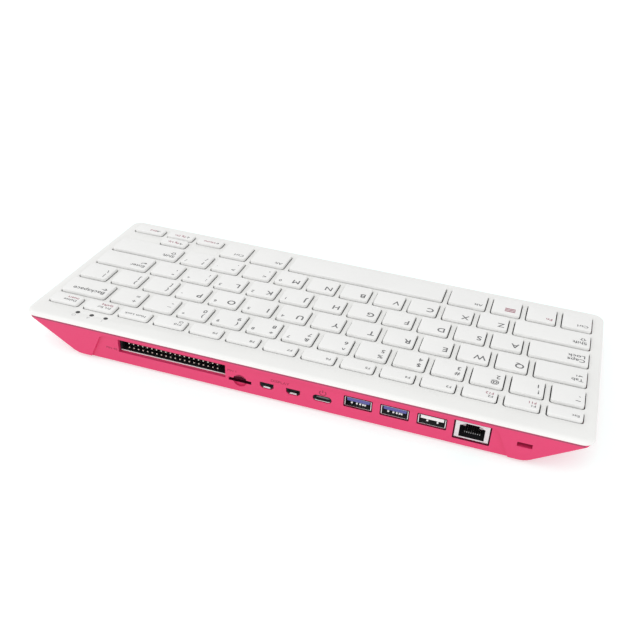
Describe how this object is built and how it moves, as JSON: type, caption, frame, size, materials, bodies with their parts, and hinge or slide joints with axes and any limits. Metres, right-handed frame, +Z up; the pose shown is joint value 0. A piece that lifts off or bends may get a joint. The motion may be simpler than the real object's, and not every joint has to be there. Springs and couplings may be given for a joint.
{
  "type": "keyboard computer",
  "caption": "Wedge-shaped keyboard computer: white deck of travelling keys over a pink hull, sockets for network, data, power, display, card and pins in the rear wall.",
  "frame": {"origin": "on the table under the middle of the case", "axes": "+X the typist's right along the case's width, +Y the rear wall with the sockets, +Z up"},
  "size_m": [0.286, 0.122, 0.0228],
  "materials": {
    "white_plastic": "fine satin",
    "pink_plastic": "satin",
    "grey_rubber": "matt",
    "dome_rubber": "matt, translucent",
    "plate_steel": "zinc plated",
    "membrane_film": "printed film",
    "ribbon_film": "film with silver tracks",
    "socket_cream": "moulded",
    "board_green": "solder mask",
    "screw_steel": "zinc plated",
    "chip_black": "moulded",
    "can_steel": "tinned",
    "pad_grey": "soft",
    "spreader_aluminium": "mill finish",
    "header_black": "moulded",
    "contact_gold": "gold plated",
    "socket_steel": "tinned",
    "tongue_blue": "moulded",
    "tongue_white": "moulded",
    "lens_dark": "smoked"
  },
  "bodies": {
    "case": {"top_case": "white_plastic", "bottom_case": "pink_plastic", "rubber_feet": "grey_rubber", "rubber_domes": "dome_rubber", "keyboard_plate": "plate_steel", "membrane": "membrane_film", "keyboard_ribbon": "ribbon_film", "ribbon_socket": "socket_cream", "main_board": "board_green", "board_screws": "screw_steel", "processor": "chip_black", "memory_chip": "chip_black", "bus_chip": "chip_black", "network_chip": "chip_black", "power_chip": "chip_black", "radio_can": "can_steel", "thermal_pad": "pad_grey", "heat_spreader": "spreader_aluminium", "pin_header": "header_black", "header_pins": "contact_gold", "jack_contacts": "contact_gold", "network_jack": "socket_steel", "data_socket_1": "socket_steel", "data_socket_2": "socket_steel", "data_socket_3": "socket_steel", "power_socket": "socket_steel", "display_socket_1": "socket_steel", "display_socket_2": "socket_steel", "card_socket": "socket_steel", "fast_tongues": "tongue_blue", "plain_tongue": "tongue_white", "indicator_lenses": "lens_dark"},
    "space_bar": {"space_bar": "white_plastic"},
    "enter_key": {"enter_key": "white_plastic"},
    "number_keys": {"number_keys": "white_plastic"},
    "upper_letter_keys": {"upper_letter_keys": "white_plastic"},
    "middle_letter_keys": {"middle_letter_keys": "white_plastic"},
    "lower_letter_keys": {"lower_letter_keys": "white_plastic"},
    "function_keys": {"function_keys": "white_plastic"},
    "escape_key": {"escape_key": "white_plastic"},
    "backspace_key": {"backspace_key": "white_plastic"},
    "tab_key": {"tab_key": "white_plastic"},
    "caps_lock_key": {"caps_lock_key": "white_plastic"},
    "left_shift_key": {"left_shift_key": "white_plastic"},
    "right_shift_key": {"right_shift_key": "white_plastic"},
    "left_control_key": {"left_control_key": "white_plastic"},
    "fn_key": {"fn_key": "white_plastic"},
    "menu_key": {"menu_key": "white_plastic"},
    "left_alt_key": {"left_alt_key": "white_plastic"},
    "right_alt_key": {"right_alt_key": "white_plastic"},
    "right_control_key": {"right_control_key": "white_plastic"},
    "up_arrow_key": {"up_arrow_key": "white_plastic"},
    "left_arrow_key": {"left_arrow_key": "white_plastic"},
    "down_arrow_key": {"down_arrow_key": "white_plastic"},
    "right_arrow_key": {"right_arrow_key": "white_plastic"},
    "backslash_key": {"backslash_key": "white_plastic"},
    "delete_key": {"delete_key": "white_plastic"},
    "num_lock_key": {"num_lock_key": "white_plastic"},
    "print_screen_key": {"print_screen_key": "white_plastic"}
  },
  "joints": [
    {"name": "space_bar_press", "type": "slide", "parent": "case", "child": "space_bar", "axis": [0, 0.1097, -0.994], "range_m": [0, 0.0015], "stiffness_N_per_m": 300, "springref_m": -0.0005, "deforming": ["rubber_domes"]},
    {"name": "enter_key_press", "type": "slide", "parent": "case", "child": "enter_key", "axis": [0, 0.1097, -0.994], "range_m": [0, 0.0015], "stiffness_N_per_m": 300, "springref_m": -0.0005, "deforming": ["rubber_domes"]},
    {"name": "number_keys_press", "type": "slide", "parent": "case", "child": "number_keys", "axis": [0, 0.1097, -0.994], "range_m": [0, 0.0015], "stiffness_N_per_m": 3900, "springref_m": -0.0005, "deforming": ["rubber_domes"]},
    {"name": "upper_letter_keys_press", "type": "slide", "parent": "case", "child": "upper_letter_keys", "axis": [0, 0.1097, -0.994], "range_m": [0, 0.0015], "stiffness_N_per_m": 3600, "springref_m": -0.0005, "deforming": ["rubber_domes"]},
    {"name": "middle_letter_keys_press", "type": "slide", "parent": "case", "child": "middle_letter_keys", "axis": [0, 0.1097, -0.994], "range_m": [0, 0.0015], "stiffness_N_per_m": 3300, "springref_m": -0.0005, "deforming": ["rubber_domes"]},
    {"name": "lower_letter_keys_press", "type": "slide", "parent": "case", "child": "lower_letter_keys", "axis": [0, 0.1097, -0.994], "range_m": [0, 0.0015], "stiffness_N_per_m": 3000, "springref_m": -0.0005, "deforming": ["rubber_domes"]},
    {"name": "function_keys_press", "type": "slide", "parent": "case", "child": "function_keys", "axis": [0, 0.1097, -0.994], "range_m": [0, 0.0015], "stiffness_N_per_m": 3000, "springref_m": -0.0005, "deforming": ["rubber_domes"]},
    {"name": "escape_key_press", "type": "slide", "parent": "case", "child": "escape_key", "axis": [0, 0.1097, -0.994], "range_m": [0, 0.0015], "stiffness_N_per_m": 300, "springref_m": -0.0005, "deforming": ["rubber_domes"]},
    {"name": "backspace_key_press", "type": "slide", "parent": "case", "child": "backspace_key", "axis": [0, 0.1097, -0.994], "range_m": [0, 0.0015], "stiffness_N_per_m": 300, "springref_m": -0.0005, "deforming": ["rubber_domes"]},
    {"name": "tab_key_press", "type": "slide", "parent": "case", "child": "tab_key", "axis": [0, 0.1097, -0.994], "range_m": [0, 0.0015], "stiffness_N_per_m": 300, "springref_m": -0.0005, "deforming": ["rubber_domes"]},
    {"name": "caps_lock_key_press", "type": "slide", "parent": "case", "child": "caps_lock_key", "axis": [0, 0.1097, -0.994], "range_m": [0, 0.0015], "stiffness_N_per_m": 300, "springref_m": -0.0005, "deforming": ["rubber_domes"]},
    {"name": "left_shift_key_press", "type": "slide", "parent": "case", "child": "left_shift_key", "axis": [0, 0.1097, -0.994], "range_m": [0, 0.0015], "stiffness_N_per_m": 300, "springref_m": -0.0005, "deforming": ["rubber_domes"]},
    {"name": "right_shift_key_press", "type": "slide", "parent": "case", "child": "right_shift_key", "axis": [0, 0.1097, -0.994], "range_m": [0, 0.0015], "stiffness_N_per_m": 300, "springref_m": -0.0005, "deforming": ["rubber_domes"]},
    {"name": "left_control_key_press", "type": "slide", "parent": "case", "child": "left_control_key", "axis": [0, 0.1097, -0.994], "range_m": [0, 0.0015], "stiffness_N_per_m": 300, "springref_m": -0.0005, "deforming": ["rubber_domes"]},
    {"name": "fn_key_press", "type": "slide", "parent": "case", "child": "fn_key", "axis": [0, 0.1097, -0.994], "range_m": [0, 0.0015], "stiffness_N_per_m": 300, "springref_m": -0.0005, "deforming": ["rubber_domes"]},
    {"name": "menu_key_press", "type": "slide", "parent": "case", "child": "menu_key", "axis": [0, 0.1097, -0.994], "range_m": [0, 0.0015], "stiffness_N_per_m": 300, "springref_m": -0.0005, "deforming": ["rubber_domes"]},
    {"name": "left_alt_key_press", "type": "slide", "parent": "case", "child": "left_alt_key", "axis": [0, 0.1097, -0.994], "range_m": [0, 0.0015], "stiffness_N_per_m": 300, "springref_m": -0.0005, "deforming": ["rubber_domes"]},
    {"name": "right_alt_key_press", "type": "slide", "parent": "case", "child": "right_alt_key", "axis": [0, 0.1097, -0.994], "range_m": [0, 0.0015], "stiffness_N_per_m": 300, "springref_m": -0.0005, "deforming": ["rubber_domes"]},
    {"name": "right_control_key_press", "type": "slide", "parent": "case", "child": "right_control_key", "axis": [0, 0.1097, -0.994], "range_m": [0, 0.0015], "stiffness_N_per_m": 300, "springref_m": -0.0005, "deforming": ["rubber_domes"]},
    {"name": "up_arrow_key_press", "type": "slide", "parent": "case", "child": "up_arrow_key", "axis": [0, 0.1097, -0.994], "range_m": [0, 0.0015], "stiffness_N_per_m": 300, "springref_m": -0.0005, "deforming": ["rubber_domes"]},
    {"name": "left_arrow_key_press", "type": "slide", "parent": "case", "child": "left_arrow_key", "axis": [0, 0.1097, -0.994], "range_m": [0, 0.0015], "stiffness_N_per_m": 300, "springref_m": -0.0005, "deforming": ["rubber_domes"]},
    {"name": "down_arrow_key_press", "type": "slide", "parent": "case", "child": "down_arrow_key", "axis": [0, 0.1097, -0.994], "range_m": [0, 0.0015], "stiffness_N_per_m": 300, "springref_m": -0.0005, "deforming": ["rubber_domes"]},
    {"name": "right_arrow_key_press", "type": "slide", "parent": "case", "child": "right_arrow_key", "axis": [0, 0.1097, -0.994], "range_m": [0, 0.0015], "stiffness_N_per_m": 300, "springref_m": -0.0005, "deforming": ["rubber_domes"]},
    {"name": "backslash_key_press", "type": "slide", "parent": "case", "child": "backslash_key", "axis": [0, 0.1097, -0.994], "range_m": [0, 0.0015], "stiffness_N_per_m": 300, "springref_m": -0.0005, "deforming": ["rubber_domes"]},
    {"name": "delete_key_press", "type": "slide", "parent": "case", "child": "delete_key", "axis": [0, 0.1097, -0.994], "range_m": [0, 0.0015], "stiffness_N_per_m": 300, "springref_m": -0.0005, "deforming": ["rubber_domes"]},
    {"name": "num_lock_key_press", "type": "slide", "parent": "case", "child": "num_lock_key", "axis": [0, 0.1097, -0.994], "range_m": [0, 0.0015], "stiffness_N_per_m": 300, "springref_m": -0.0005, "deforming": ["rubber_domes"]},
    {"name": "print_screen_key_press", "type": "slide", "parent": "case", "child": "print_screen_key", "axis": [0, 0.1097, -0.994], "range_m": [0, 0.0015], "stiffness_N_per_m": 300, "springref_m": -0.0005, "deforming": ["rubber_domes"]}
  ]
}
